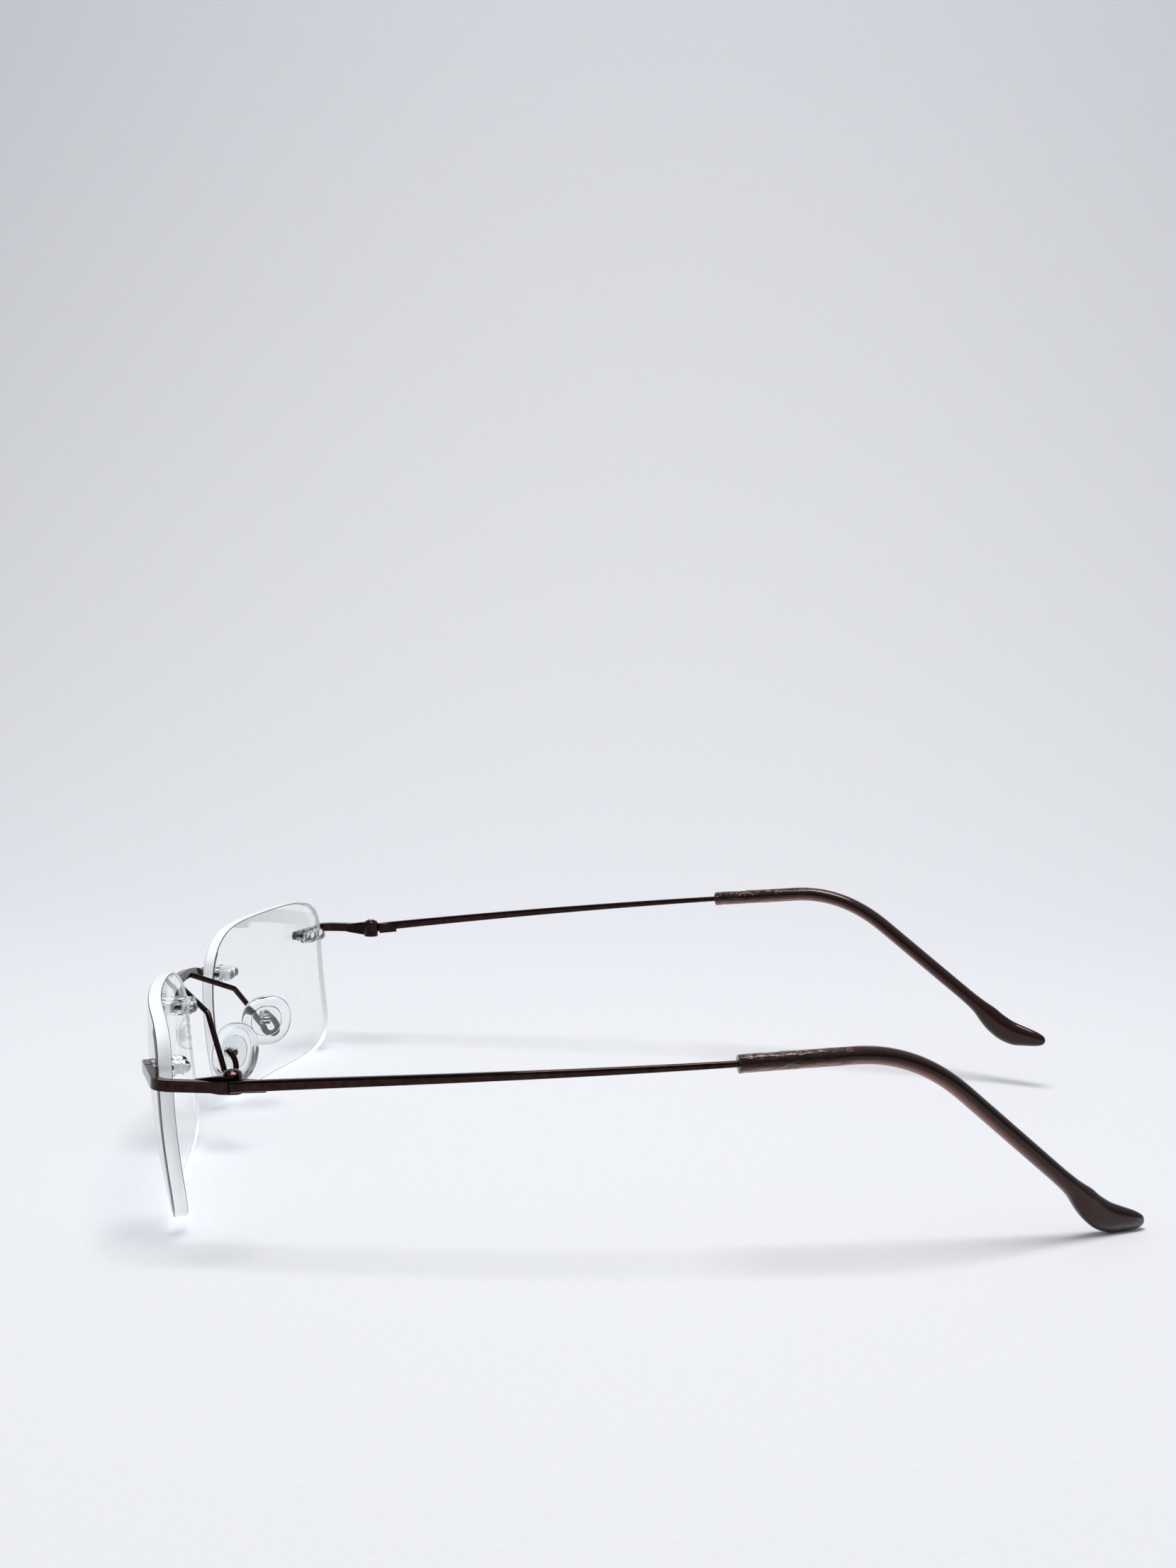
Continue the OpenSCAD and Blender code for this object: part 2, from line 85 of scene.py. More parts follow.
def make_camera():
    data = bpy.data.cameras.new("camera")
    data.angle = CAMERA_LONG_ANGLE
    data.clip_start, data.clip_end = 0.01, 20
    cam = bpy.data.objects.new("camera", data)
    bpy.context.collection.objects.link(cam)
    ahead = Vector((-math.cos(CAMERA_PITCH) * math.cos(CAMERA_YAW),
                    -math.cos(CAMERA_PITCH) * math.sin(CAMERA_YAW),
                    -math.sin(CAMERA_PITCH)))
    right = ahead.cross(Vector((0, 0, 1))).normalized()
    up = right.cross(ahead)
    c, s = math.cos(CAMERA_ROLL), math.sin(CAMERA_ROLL)
    right, up = c * right + s * up, c * up - s * right
    turn = Matrix((right, up, -ahead)).transposed().to_4x4()
    cam.matrix_world = Matrix.Translation(CAMERA_AT) @ turn
    bpy.context.scene.camera = cam


# ---------------------------------------------------------------- materials
def new_material(name):
    mat = bpy.data.materials.new(name)
    mat.use_nodes = True
    nodes = mat.node_tree.nodes
    nodes.clear()
    out = nodes.new("ShaderNodeOutputMaterial")
    shader = nodes.new("ShaderNodeBsdfPrincipled")
    mat.node_tree.links.new(shader.outputs["BSDF"], out.inputs["Surface"])
    return mat, nodes, mat.node_tree.links, shader, out


def add_noise(nodes, links, scale, detail=4.0, rough=0.55, stretch=None):
    coords = nodes.new("ShaderNodeTexCoord")
    tex = nodes.new("ShaderNodeTexNoise")
    tex.inputs["Scale"].default_value = scale
    tex.inputs["Detail"].default_value = detail
    tex.inputs["Roughness"].default_value = rough
    source = coords.outputs["Object"]
    if stretch:
        mapping = nodes.new("ShaderNodeMapping")
        mapping.inputs["Scale"].default_value = stretch
        links.new(source, mapping.inputs["Vector"])
        source = mapping.outputs["Vector"]
    links.new(source, tex.inputs["Vector"])
    return tex.outputs["Fac"]


def add_ramp(nodes, links, fac, stops):
    ramp = nodes.new("ShaderNodeValToRGB")
    ramp.color_ramp.elements[0].position = stops[0][0]
    ramp.color_ramp.elements[0].color = (*stops[0][1], 1)
    ramp.color_ramp.elements[1].position = stops[-1][0]
    ramp.color_ramp.elements[1].color = (*stops[-1][1], 1)
    for place, colour in stops[1:-1]:
        ramp.color_ramp.elements.new(place).color = (*colour, 1)
    links.new(fac, ramp.inputs["Fac"])
    return ramp.outputs["Color"]


def add_range(nodes, links, fac, low, high, span=(0.0, 1.0)):
    spread = nodes.new("ShaderNodeMapRange")
    spread.inputs["From Min"].default_value, spread.inputs["From Max"].default_value = span
    spread.inputs["To Min"].default_value = low
    spread.inputs["To Max"].default_value = high
    links.new(fac, spread.inputs["Value"])
    return spread.outputs["Result"]


def add_mix(nodes, links, fac, first, second, blend="MIX"):
    """Mixes two colours by a factor, or in full where there is none."""
    mix = nodes.new("ShaderNodeMixRGB")
    mix.blend_type = blend
    if fac is None:
        mix.inputs["Fac"].default_value = 1.0
    else:
        links.new(fac, mix.inputs["Fac"])
    links.new(first, mix.inputs["Color1"])
    links.new(second, mix.inputs["Color2"])
    return mix.outputs["Color"]


def split_axes(nodes, links, vector):
    split = nodes.new("ShaderNodeSeparateXYZ")
    links.new(vector, split.inputs["Vector"])
    return split.outputs


def add_bump(nodes, links, fac, shader, strength, distance):
    bump = nodes.new("ShaderNodeBump")
    bump.inputs["Strength"].default_value = strength
    bump.inputs["Distance"].default_value = distance
    links.new(fac, bump.inputs["Height"])
    links.new(bump.outputs["Normal"], shader.inputs["Normal"])


def pass_lamps(nodes, links, shader, out, tint):
    """Lets light from the lamps through a clear surface, so that it casts only a faint shadow."""
    path = nodes.new("ShaderNodeLightPath")
    clear = nodes.new("ShaderNodeBsdfTransparent")
    clear.inputs["Color"].default_value = (*tint, 1)
    mix = nodes.new("ShaderNodeMixShader")
    links.new(path.outputs["Is Shadow Ray"], mix.inputs["Fac"])
    links.new(shader.outputs["BSDF"], mix.inputs[1])
    links.new(clear.outputs["BSDF"], mix.inputs[2])
    links.new(mix.outputs["Shader"], out.inputs["Surface"])


def metal_material(name, dark, light, rough):
    mat, nodes, links, shader, _ = new_material(name)
    clouds = add_noise(nodes, links, 900, 5)
    links.new(add_ramp(nodes, links, clouds, ((0.3, dark), (0.72, light))), shader.inputs["Base Color"])
    wear = add_noise(nodes, links, 2600, 3)
    links.new(add_range(nodes, links, wear, rough - 0.06, rough + 0.1), shader.inputs["Roughness"])
    shader.inputs["Metallic"].default_value = 1.0
    shader.inputs["Coat Weight"].default_value = 0.12
    shader.inputs["Coat Roughness"].default_value = 0.05
    add_bump(nodes, links, wear, shader, 0.06, 0.00004)
    return mat


def clear_material(name, tint, ior, rough, bump, lamp_tint, glint=(1, 1, 1)):
    """Clear plastic or silicone. The glint is the tint of its reflections."""
    mat, nodes, links, shader, out = new_material(name)
    clouds = add_noise(nodes, links, 400, 3)
    lighter = tuple(min(1.0, c + 0.03) for c in tint)
    cloudy = add_ramp(nodes, links, clouds, ((0.35, tint), (0.7, lighter)))
    links.new(cloudy, shader.inputs["Base Color"])
    shader.inputs["Transmission Weight"].default_value = 1.0
    shader.inputs["IOR"].default_value = ior
    shader.inputs["Roughness"].default_value = rough
    shader.inputs["Specular Tint"].default_value = (*glint, 1)
    if bump:
        add_bump(nodes, links, clouds, shader, bump, 0.0001)
    pass_lamps(nodes, links, shader, out, lamp_tint)
    return mat


def frosted_material(name):
    """A ground lens edge. Its faint glow stands for the light that a clear lens leads to its edge."""
    mat, nodes, links, shader, out = new_material(name)
    grain = add_noise(nodes, links, 3500, 6)
    links.new(add_ramp(nodes, links, grain, ((0.3, (0.84, 0.87, 0.88)), (0.7, (0.96, 0.98, 0.99)))),
              shader.inputs["Base Color"])
    links.new(add_range(nodes, links, grain, 0.42, 0.6), shader.inputs["Roughness"])
    shader.inputs["Transmission Weight"].default_value = 0.35
    shader.inputs["IOR"].default_value = 1.5
    shader.inputs["Emission Color"].default_value = (0.93, 0.97, 1.0, 1)
    shader.inputs["Emission Strength"].default_value = 0.16
    add_bump(nodes, links, grain, shader, 0.25, 0.00005)
    pass_lamps(nodes, links, shader, out, (0.5, 0.52, 0.55))
    return mat


# Sleeve and toe colours, from the underside of the tip to its top, chosen by the way the surface faces. The
# sleeve's pinkish underside is painted light and its near-black middle is painted shade. The toe's dark
# brown carries slight painted light on its sides and painted shade on top.
SLEEVE_COLOUR_AND_PAINTED_LIGHT = ((0.0, (0.26, 0.125, 0.105)), (0.3, (0.18, 0.080, 0.066)), (0.40, (0.030, 0.011, 0.009)),
                  (0.52, (0.004, 0.002, 0.002)), (0.72, (0.018, 0.007, 0.006)), (1.0, (0.050, 0.021, 0.018)))
TOE_COLOUR_AND_PAINTED_SHADE = ((0.0, (0.016, 0.005, 0.0045)), (0.5, (0.024, 0.007, 0.0065)), (1.0, (0.010, 0.003, 0.003)))
# Where the sleeve's colour gives way to the toe's, and where the creases by the cut end die out, in metres.
TOE_FADE, CREASE_FADE = (0.052, 0.067), (0.026, 0.037)


def tip_material(name):
    """Smoky brown plastic. Its see-through look is mostly painted light and shade: a colour by the way the
    surface faces, pinkish below and near-black along the middle.
    """
    mat, nodes, links, shader, _ = new_material(name)
    clouds = add_noise(nodes, links, 260, 4, stretch=(1, 0.25, 1))
    cloudy = add_ramp(nodes, links, clouds, ((0.3, (0.78, 0.74, 0.72)), (0.75, (1, 1, 1))))
    coords = nodes.new("ShaderNodeTexCoord")
    facing = split_axes(nodes, links, coords.outputs["Normal"])
    along = split_axes(nodes, links, coords.outputs["Object"])["Y"]
    # The facing picks the painted light and shade: painted light below, painted shade along the middle.
    upward = add_range(nodes, links, facing["Z"], 0.0, 1.0, (-1.0, 1.0))
    sleeve = add_ramp(nodes, links, upward, SLEEVE_COLOUR_AND_PAINTED_LIGHT)
    toe = add_ramp(nodes, links, upward, TOE_COLOUR_AND_PAINTED_SHADE)
    fade = add_range(nodes, links, along, 0.0, 1.0, TOE_FADE)
    colour_with_painted_light = add_mix(nodes, links, fade, sleeve, toe)
    links.new(add_mix(nodes, links, None, colour_with_painted_light, cloudy, "MULTIPLY"), shader.inputs["Base Color"])
    wear = add_noise(nodes, links, 1800, 4)
    links.new(add_range(nodes, links, wear, 0.12, 0.24), shader.inputs["Roughness"])
    shader.inputs["Transmission Weight"].default_value = 0.06
    shader.inputs["IOR"].default_value = 1.34
    shader.inputs["Specular Tint"].default_value = (1.0, 0.66, 0.6, 1)
    shader.inputs["Coat Weight"].default_value = 0.28
    shader.inputs["Coat Roughness"].default_value = 0.03
    creases = add_noise(nodes, links, 950, 2, 0.5, stretch=(1, 0.45, 1))
    height = nodes.new("ShaderNodeMath")
    height.operation = "MULTIPLY"
    links.new(creases, height.inputs[0])
    links.new(add_range(nodes, links, along, 1.0, 0.02, CREASE_FADE), height.inputs[1])
    add_bump(nodes, links, height.outputs["Value"], shader, 0.9, 0.0006)
    return mat


METAL = metal_material("coffee_metal", dark=(0.013, 0.006, 0.0055), light=(0.038, 0.016, 0.014), rough=0.13)
SCREW = metal_material("screw_metal", dark=(0.028, 0.012, 0.010), light=(0.065, 0.029, 0.024), rough=0.16)
LENS = clear_material("lens_polished", tint=(0.945, 0.968, 0.955), ior=1.5, rough=0.0, bump=0,
                      lamp_tint=(0.88, 0.9, 0.91), glint=(0.62, 1.0, 0.8))
LENS_EDGE = frosted_material("lens_edge")
# The polished chamfer is tinted grey. This is painted shade that draws a dark outline along the lens's edge.
LENS_BEVEL = clear_material("lens_bevel", tint=(0.62, 0.64, 0.65), ior=1.5, rough=0.3, bump=0.1,
                            lamp_tint=(0.5, 0.52, 0.55))
CLEAR = clear_material("clear_bushing", tint=(0.86, 0.88, 0.88), ior=1.49, rough=0.03, bump=0.04,
                       lamp_tint=(0.6, 0.62, 0.65))
SILICONE = clear_material("pad_silicone", tint=(0.94, 0.955, 0.955), ior=1.46, rough=0.05, bump=0.05,
                          lamp_tint=(0.8, 0.82, 0.84))
TIP = tip_material("tip_acetate")


# ---------------------------------------------------------------- mesh helpers
def make_object(name, points, faces, materials, body, node, face_material=None, sharp=SHARP):
    mesh = bpy.data.meshes.new(name)
    mesh.from_pydata([tuple(Vector(p) * MM) for p in points], [], faces)
    mesh.validate()
    for mat in materials:
        mesh.materials.append(mat)
    mesh.polygons.foreach_set("use_smooth", [True] * len(mesh.polygons))
    if face_material:
        mesh.polygons.foreach_set("material_index", face_material)
    mesh.set_sharp_from_angle(angle=sharp)
    obj = bpy.data.objects.new(name, mesh)
    bpy.context.collection.objects.link(obj)
    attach(obj, body)
    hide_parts(node)
    return obj


def bridge_rings(rings, closed=True):
    """Faces of a tube through rings of equal length, with flat ends where it is closed."""
    n = len(rings[0])
    points = [p for ring in rings for p in ring]
    faces = []
    for k in range(len(rings) - 1):
        for i in range(n):
            j = (i + 1) % n
            faces.append((k * n + i, k * n + j, (k + 1) * n + j, (k + 1) * n + i))
    if closed:
        faces.append(tuple(reversed(range(n))))
        faces.append(tuple((len(rings) - 1) * n + i for i in range(n)))
    return points, faces


def side_label(name):
    """The left or right at the end of a piece's name."""
    return name.split("_")[-1]


def mirrored(points, faces, side):
    if side > 0:
        return points, faces
    return [Vector((-p[0], p[1], p[2])) for p in points], [tuple(reversed(f)) for f in faces]


def racked(points, side):
    """Turns the right temple up about its hinge, as in the CAD model."""
    if side > 0:
        return points
    pivot = Vector((0, HINGE_Y, HINGE_Z))
    turn = Matrix.Rotation(RACK, 3, "X")
    return [turn @ (Vector(p) - pivot) + pivot for p in points]


def superellipse(angle, a, b, power):
    c, s = math.cos(angle), math.sin(angle)
    r = ((abs(c) / a) ** power + (abs(s) / b) ** power) ** (-1 / power)
    return r * c, r * s


def ring_at(centre, ahead, half_side, half_up, power, count=28):
    """One section of a sweep: its up direction stays in the upright plane of the way ahead."""
    side = ahead.cross(Vector((0, 0, 1))).normalized()
    up = side.cross(ahead).normalized()
    ring = []
    for i in range(count):
        angle = 2 * math.pi * i / count
        x, y = superellipse(angle, half_side, half_up, power)
        ring.append(centre + side * x + up * y)
    return ring


def arc_through(corner, before, after, radius, steps):
    """Points of a round corner that leaves the line before-corner and joins the line corner-after."""
    a, b = (before - corner).normalized(), (after - corner).normalized()
    half = math.acos(max(-1, min(1, a.dot(b)))) / 2
    reach = radius / math.tan(half)
    centre = corner + (a + b).normalized() * (radius / math.sin(half))
    start, end = corner + a * reach - centre, corner + b * reach - centre
    full = start.angle(end)
    return [centre + (start * math.sin(full * (1 - t)) + end * math.sin(full * t)) / math.sin(full)
            for t in [i / steps for i in range(steps + 1)]]


def rounded_path(corners, radii, steps=8):
    path = [corners[0]]
    for i in range(1, len(corners) - 1):
        path += arc_through(corners[i], corners[i - 1], corners[i + 1], radii[i - 1], steps)
    return path + [corners[-1]]


def tube_along(path, radius, count=20, cap=0.6):
    """A round wire along a path, with its two ends rounded over."""
    last_at = len(path) - 1
    tangents = [(path[min(i + 1, last_at)] - path[max(i - 1, 0)]).normalized() for i in range(len(path))]
    normal = tangents[0].orthogonal().normalized()
    rings = []
    for i, (p, t) in enumerate(zip(path, tangents)):
        normal = (normal - t * normal.dot(t)).normalized()
        across = t.cross(normal)
        turns = [2 * math.pi * k / count for k in range(count)]
        rings.append([p + (normal * math.cos(a) + across * math.sin(a)) * radius for a in turns])
    first = [[path[0] - tangents[0] * radius * cap * s + (q - path[0]) * c for q in rings[0]]
             for s, c in ((1.0, 0.35), (0.85, 0.7), (0.45, 0.93))]
    last = [[path[-1] + tangents[-1] * radius * cap * s + (q - path[-1]) * c for q in rings[-1]]
            for s, c in ((0.45, 0.93), (0.85, 0.7), (1.0, 0.35))]
    return bridge_rings(first + rings + last)


# ---------------------------------------------------------------- lenses
def corner_power(angle):
    return CORNERS[int(angle / (math.pi / 2)) % 4]


def lens_matrix():
    at = Vector((GAP / 2 + LENS_W / 2 * math.cos(WRAP), HINGE_Y - SETBACK,
                 LENS_H / 2 * math.cos(TILT) - REST_CUT))
    return Matrix.Translation(at) @ Matrix.Rotation(WRAP, 4, "Z") @ Matrix.Rotation(TILT, 4, "X")


def lens_depth(u, v, n):
    return LENS_R - math.sqrt((LENS_R - n) ** 2 - u * u - v * v)


def lens_ring(scale, n, count):
    ring = []
    for i in range(count):
        angle = 2 * math.pi * i / count
        u, v = superellipse(angle, LENS_W / 2, LENS_H / 2, corner_power(angle))
        u, v = u * scale, v * scale
        ring.append(Vector((u, lens_depth(u, v, n), v)))
    return ring


def mount_matrix(u):
    """Stands things on the front surface of the left lens, with +Y going straight into it."""
    out = Matrix.Translation((0, LENS_R, 0))
    across = Matrix.Rotation(math.asin(u / LENS_R), 4, "Z")
    up = Matrix.Rotation(-math.asin(MOUNT_V / LENS_R), 4, "X")
    return lens_matrix() @ out @ across @ up @ Matrix.Translation((0, -LENS_R, 0))


def drill_holes(obj, side):
    """Cuts the four post holes through the lens."""
    count, past = 28, 2.0
    turns = [2 * math.pi * i / count for i in range(count)]
    points, faces = [], []
    for u in (NASAL_U, TEMPORAL_U):
        for x in (-POST_GAP / 2, POST_GAP / 2):
            place = mount_matrix(u) @ Matrix.Translation((x, 0, 0))
            rings = [[place @ Vector((HOLE_R * math.cos(a), y, HOLE_R * math.sin(a))) for a in turns]
                     for y in (-past, LENS_T + past)]
            p, f = bridge_rings(rings)
            faces += [tuple(i + len(points) for i in face) for face in f]
            points += p
    points, faces = mirrored(points, faces, side)
    cutter_mesh = bpy.data.meshes.new("cutter")
    cutter_mesh.from_pydata([tuple(Vector(p) * MM) for p in points], [], faces)
    cutter = bpy.data.objects.new("cutter", cutter_mesh)
    bpy.context.collection.objects.link(cutter)
    cut = obj.modifiers.new("holes", "BOOLEAN")
    cut.operation, cut.solver, cut.object = "DIFFERENCE", "EXACT", cutter
    graph = bpy.context.evaluated_depsgraph_get()
    drilled = bpy.data.meshes.new_from_object(obj.evaluated_get(graph))
    obj.modifiers.clear()
    obj.data = drilled
    drilled.set_sharp_from_angle(angle=SHARP)
    bpy.data.objects.remove(cutter)


def make_lens(name, side):
    count, steps = 180, 14
    inner = 1 - 2 * LENS_CHAMFER / LENS_H
    face_scales = [inner * k / steps for k in range(steps, 0, -1)]
    front = [lens_ring(s, 0, count) for s in reversed(face_scales)]
    edge = [lens_ring(1, LENS_CHAMFER, count), lens_ring(1, LENS_T - LENS_CHAMFER, count)]
    back = [lens_ring(s, LENS_T, count) for s in face_scales]
    rings = front + edge + back
    points, faces = bridge_rings(rings, closed=False)
    band = {len(front) - 1: 2, len(front): 1, len(front) + 1: 2}
    face_material = [band.get(k, 0) for k in range(len(rings) - 1) for i in range(count)]
    for ring_start, n, flip in ((0, 0, False), ((len(rings) - 1) * count, LENS_T, True)):
        middle = len(points)
        points.append(Vector((0, lens_depth(0, 0, n), 0)))
        for i in range(count):
            a, b = ring_start + i, ring_start + (i + 1) % count
            faces.append((middle, a, b) if flip else (middle, b, a))
            face_material.append(0)
    points = [lens_matrix() @ p for p in points]
    # The lowest edge is cut flat where it rests on the table.
    points = [Vector((p.x, p.y, max(p.z, 0.0))) for p in points]
    points, faces = mirrored(points, faces, side)
    obj = make_object(name, points, faces, (LENS, LENS_EDGE, LENS_BEVEL), "front",
                      "lens_" + side_label(name), face_material)
    drill_holes(obj, side)


# ---------------------------------------------------------------- temples and tips
def temple_point(s):
    return Vector((BAR_X - INWARD * (s / REACH) ** INWARD_POWER, s + HINGE_Y,
                   HINGE_Z + RISE * (s / EAR_BEND) ** RISE_POWER))


def make_temple(name, side):
    stations = [BAR_END_GAP + (SLEEVE_START + 0.5 - BAR_END_GAP) * (i / 40) for i in range(41)]
    rings = []
    for k, s in enumerate(stations):
        share = 1 - s / SLEEVE_START
        thick = (BAR_TIP + (BAR_T - BAR_TIP) * share) / 2
        high = (BAR_TIP + (BAR_H - BAR_TIP) * share) / 2
        ahead = (temple_point(s + 0.5) - temple_point(max(s - 0.5, 0.01))).normalized()
        # Nearly square in section by the hinge, nearly round by the sleeve.
        power = 2.4 + 4.5 * max(share, 0) ** 1.5
        if k == 0:
            # A smaller first section rounds over the edge of the bar's end.
            rings.append(ring_at(temple_point(s), ahead, thick * 0.86, high * 0.9, power))
            s += 0.12
        rings.append(ring_at(temple_point(s), ahead, thick, high, power))
    points, faces = bridge_rings(rings)
    wire_points, wire_faces = tube_along(limb_path(), CORE_WIRE_R, 14)
    faces += [tuple(i + len(points) for i in face) for face in wire_faces]
    points += wire_points
    points, faces = mirrored(points, faces, side)
    obj = make_object(name, racked(points, side), faces, (METAL,), "temple_arm_" + side_label(name),
                      "temple_" + side_label(name))


def inward_at(y):
    """How far in the temple lies at a given place along the whole frame."""
    return BAR_X - INWARD * ((y - HINGE_Y) / REACH) ** INWARD_POWER


def limb_path():
    """The sleeve's middle line from its cut end, over the ear bend, down to the neck."""
    neck_y = REACH - NECK_BACK + HINGE_Y
    sleeve = temple_point(SLEEVE_START)
    before = temple_point(EAR_BEND - BEND_IN)
    bend = temple_point(EAR_BEND)
    neck = Vector((inward_at(neck_y), neck_y, NECK_Z))
    after = bend + (neck - bend) * 0.32
    path = [sleeve.lerp(before, i / 20) for i in range(20)]
    for i in range(18):
        t = i / 18
        path.append(before * (1 - t) ** 2 + bend * (2 * t * (1 - t)) + after * t * t)
    return path + [after.lerp(neck, i / 14) for i in range(15)]


# The flattened toe. Each row says how far before the toe's end it lies, the height of its middle, half its
# height, its lean in degrees and half its thickness.
TOE_END = 77.15
TOE = ((11.6, 7.3, 1.5, 37, 1.3), (10.4, 5.95, 1.95, 29, 1.3), (9.2, 4.75, 2.35, 19, 1.28),
       (7.6, 3.4, 2.5, 9, 1.22), (5.6, 2.37, 2.3, 3, 1.16), (3.6, 1.93, 1.88, 0, 1.08),
       (1.9, 1.6, 1.5, 0, 0.96), (0.9, 1.42, 1.15, 0, 0.8), (0.3, 1.35, 0.78, 0, 0.56),
       (0.0, 1.33, 0.3, 0, 0.22))


def toe_sections(start):
    """Sections of the toe, eased between the listed ones by a Catmull-Rom curve."""
    knots = [start] + [np.array(row, float) for row in TOE]
    knots = [2 * knots[0] - knots[1]] + knots + [2 * knots[-1] - knots[-2]]
    rows = []
    for k in range(1, len(knots) - 2):
        a, b, c, d = knots[k - 1:k + 3]
        for t in (0.0, 0.25, 0.5, 0.75):
            rows.append(0.5 * (2 * b + (c - a) * t + (2 * a - 5 * b + 4 * c - d) * t * t
                               + (3 * b - a - 3 * c + d) * t ** 3))
    return rows + [knots[-2]]


def make_tip(name, side):
    path = limb_path()
    rings = []
    for i, p in enumerate(path[:-1]):
        ahead = (path[i + 1] - path[max(i - 1, 0)]).normalized()
        along = (p - path[0]).length
        shrink = max(0.0, 1 - along / WRINKLE_REACH)
        ring = ring_at(p, ahead, SLEEVE_R, SLEEVE_R, 2.05)
        if shrink > 0:
            depth = WRINKLE_DEPTH * shrink
            ring = [q + (q - p).normalized() * depth * noise.noise(q * WRINKLE_SCALE) for q in ring]
        rings.append(ring)
    neck = path[-1]
    start = np.array((TOE_END - neck.y, neck.z, SLEEVE_R + 0.05, 38.5, SLEEVE_R))
    for back, height, half, lean, thick in toe_sections(start):
        y = TOE_END - back
        angle = math.radians(lean)
        sway = inward_at(y + 0.2) - inward_at(y - 0.2)
        ahead = Vector((sway / 0.4, math.cos(angle), -math.sin(angle))).normalized()
        rings.append(ring_at(Vector((inward_at(y), y, height)), ahead, thick, half, 2.15))
    # The cut end is a little dished, with its edge rounded over.
    way = (path[1] - path[0]).normalized()
    mouth = [[path[0] + way * 0.02 + (q - path[0]) * 0.4 for q in rings[0]],
             [path[0] + (q - path[0]) * 0.9 for q in rings[0]],
             [q + way * 0.1 for q in rings[0]]]
    points, faces = bridge_rings(mouth + rings[1:])
    points = [Vector((p.x, p.y, max(p.z, 0.02))) for p in points]
    points, faces = mirrored(points, faces, side)
    obj = make_object(name, racked(points, side), faces, (TIP,), "temple_arm_" + side_label(name),
                      "temple_tip_" + side_label(name), sharp=math.radians(50))


# ---------------------------------------------------------------- nose pads and their arms
def pad_matrix():
    flare, splay = Matrix.Rotation(-PAD_FLARE, 4, "Z"), Matrix.Rotation(-PAD_SPLAY, 4, "Y")
    return Matrix.Translation(PAD_AT) @ flare @ splay


def pad_ring(scale, x, count=64):
    ring = []
    for i in range(count):
        a, b = superellipse(2 * math.pi * i / count, PAD_W / 2, PAD_L / 2, 2.3)
        ring.append(pad_matrix() @ Vector((x, a * scale, b * scale)))
    return ring


def make_pad(name, side):
    # Share of the outline, and depth, from the middle of the dome over the rim into the core's recess.
    profile = [(0.04, -PAD_T), (0.2, -2.16), (0.4, -2.02), (0.6, -1.78), (0.76, -1.48), (0.88, -1.12),
               (0.96, -0.72), (0.985, -0.45), (0.97, -0.2), (0.93, -0.06), (0.86, 0.0), (0.7, -0.05),
               (CORE_SHARE + 0.02, -0.04), (CORE_SHARE, -0.1), (CORE_SHARE - 0.01, -0.42),
               (CORE_SHARE - 0.04, -0.46), (0.05, -0.46)]
    points, faces = bridge_rings([pad_ring(s, x) for s, x in profile])
    points, faces = mirrored(points, faces, side)
    obj = make_object(name, points, faces, (SILICONE,), "pad_" + side_label(name),
                      "nose_pad_" + side_label(name), sharp=math.radians(60))


def make_pad_arm(name, side):
    """The arm's wire: out from the bridge, down to a low point, round a small turn and up to the box."""
    low = Vector((16.0, HINGE_Y - 12.1, 14.1))
    turn = 1.05
    lug = lens_matrix() @ Vector((NASAL_U, lens_depth(NASAL_U, MOUNT_V, -GASKET_T - LUG_T / 2), MOUNT_V))
    start = Vector((4.4, lug.y + 0.25, lug.z + 1.55))
    elbow = Vector((10.0, HINGE_Y - 16.1, 21.7))
    path = rounded_path([start, elbow, low], [1.6])
    middle = low + Vector((0, turn, 0))
    for i in range(1, 13):
        a = math.pi * i / 12
        path.append(middle + Vector((0, -math.cos(a), -math.sin(a))) * turn)
    rise_end, bow = path[-1], 0.35
    box_back = pad_matrix() @ Vector((BOX_LIFT + BOX_DEPTH + BOX_WALL + PAD_WIRE_R * 0.7, 0.3, 0.2))
    for t in (0.25, 0.5, 0.75):
        path.append(rise_end.lerp(box_back, t) + Vector((0, bow * math.sin(math.pi * t), 0)))
    path.append(box_back)
    points, faces = tube_along(path, PAD_WIRE_R)
    points, faces = mirrored(points, faces, side)
    obj = make_object(name, points, faces, (METAL,), "front", "pad_arm_" + side_label(name))


# ---------------------------------------------------------------- carried-over CAD nodes
def dress_nodes():
    """Gives each CAD node that stays its material and a small bevel. The pad cores look like the pads."""
    looks = {"frame_metal": (METAL, 0.1), "screw": (SCREW, 0.06), "clear_plastic": (CLEAR, 0.07)}
    slots = {entry["node"]: entry["material_slot"] for entry in frame["record"]["subparts"]}
    for node, obj in frame["nodes"].items():
        if slots[node] not in looks or obj.hide_render:
            continue
        material, width = looks[slots[node]]
        if node.startswith("pad_core"):
            material = SILICONE
        for slot in obj.material_slots:
            slot.material = material
        bevel = obj.modifiers.new("edge", "BEVEL")
        bevel.width, bevel.segments, bevel.limit_method = width * MM, 2, "ANGLE"
        bevel.angle_limit = math.radians(40)
        bevel.harden_normals = False


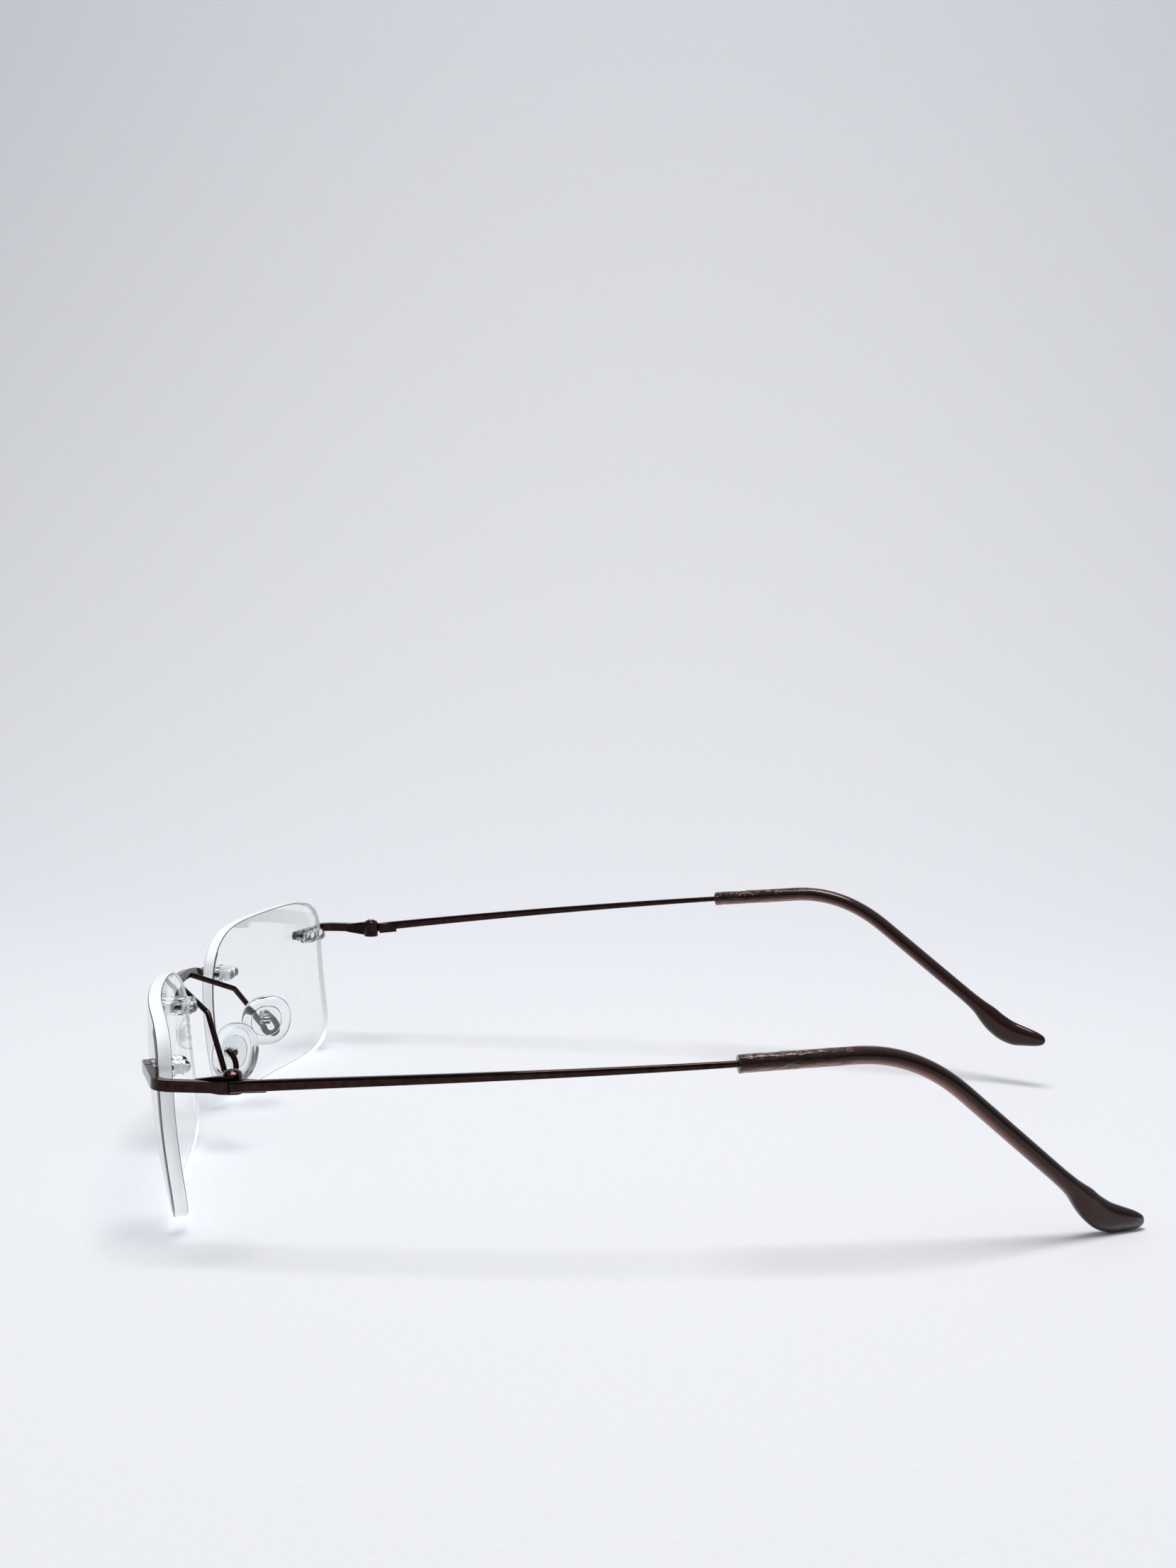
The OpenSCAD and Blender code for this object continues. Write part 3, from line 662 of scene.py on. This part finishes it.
# ---------------------------------------------------------------- stage and light
def make_floor():
    size, rise = 3.0, 1.6
    back, bend = -0.55, 0.35
    profile = [(1.2, 0.0), (back + bend, 0.0)]
    profile += [(back + bend - bend * math.sin(a), bend - bend * math.cos(a))
                for a in [math.pi / 2 * i / 24 for i in range(1, 25)]]
    profile.append((back, rise))
    points = [(x, y, z) for x, z in profile for y in (-size, size)]
    faces = [(2 * i, 2 * i + 1, 2 * i + 3, 2 * i + 2) for i in range(len(profile) - 1)]
    mesh = bpy.data.meshes.new("paper_sweep")
    mesh.from_pydata(points, [], faces)
    mesh.polygons.foreach_set("use_smooth", [True] * len(mesh.polygons))
    mat, nodes, links, shader, _ = new_material("paper")
    fibre = add_noise(nodes, links, 900, 6)
    links.new(add_ramp(nodes, links, fibre, ((0.3, (0.79, 0.802, 0.85)), (0.7, (0.815, 0.828, 0.875)))),
              shader.inputs["Base Color"])
    shader.inputs["Roughness"].default_value = 0.7
    shader.inputs["Specular IOR Level"].default_value = 0.25
    add_bump(nodes, links, fibre, shader, 0.08, 0.0002)
    mesh.materials.append(mat)
    obj = bpy.data.objects.new("paper_sweep", mesh)
    bpy.context.collection.objects.link(obj)


def make_light(name, at, aim, size, power, colour):
    data = bpy.data.lights.new(name, "AREA")
    data.shape, data.size, data.energy, data.color = "DISK", size, power, colour
    lamp = bpy.data.objects.new(name, data)
    bpy.context.collection.objects.link(lamp)
    lamp.location = at
    lamp.rotation_mode = "QUATERNION"
    lamp.rotation_quaternion = (Vector(aim) - Vector(at)).to_track_quat("-Z", "Y")


def make_world():
    """A soft room: bright overhead, dim near the horizon."""
    world = bpy.data.worlds.new("soft_room")
    bpy.context.scene.world = world
    world.use_nodes = True
    nodes, links = world.node_tree.nodes, world.node_tree.links
    coords = nodes.new("ShaderNodeTexCoord")
    sky = add_ramp(nodes, links, split_axes(nodes, links, coords.outputs["Generated"])["Z"],
                   ((0.0, (0.30, 0.30, 0.31)), (0.32, (0.42, 0.43, 0.44)), (0.72, (0.92, 0.95, 0.98))))
    links.new(sky, nodes["Background"].inputs["Color"])
    nodes["Background"].inputs["Strength"].default_value = 0.45


make_camera()
for label, side in SIDES:
    make_lens("lens_glass_" + label, side)
    make_temple("temple_bar_" + label, side)
    make_tip("tip_sleeve_" + label, side)
    make_pad("soft_pad_" + label, side)
    make_pad_arm("pad_wire_" + label, side)
dress_nodes()
make_floor()
make_world()
make_light("overhead", at=(0.02, 0.0, 0.74), aim=(0.02, 0, 0), size=0.36, power=4.3,
           colour=(1.0, 0.99, 0.965))
bpy.context.scene.view_settings.view_transform = "Standard"
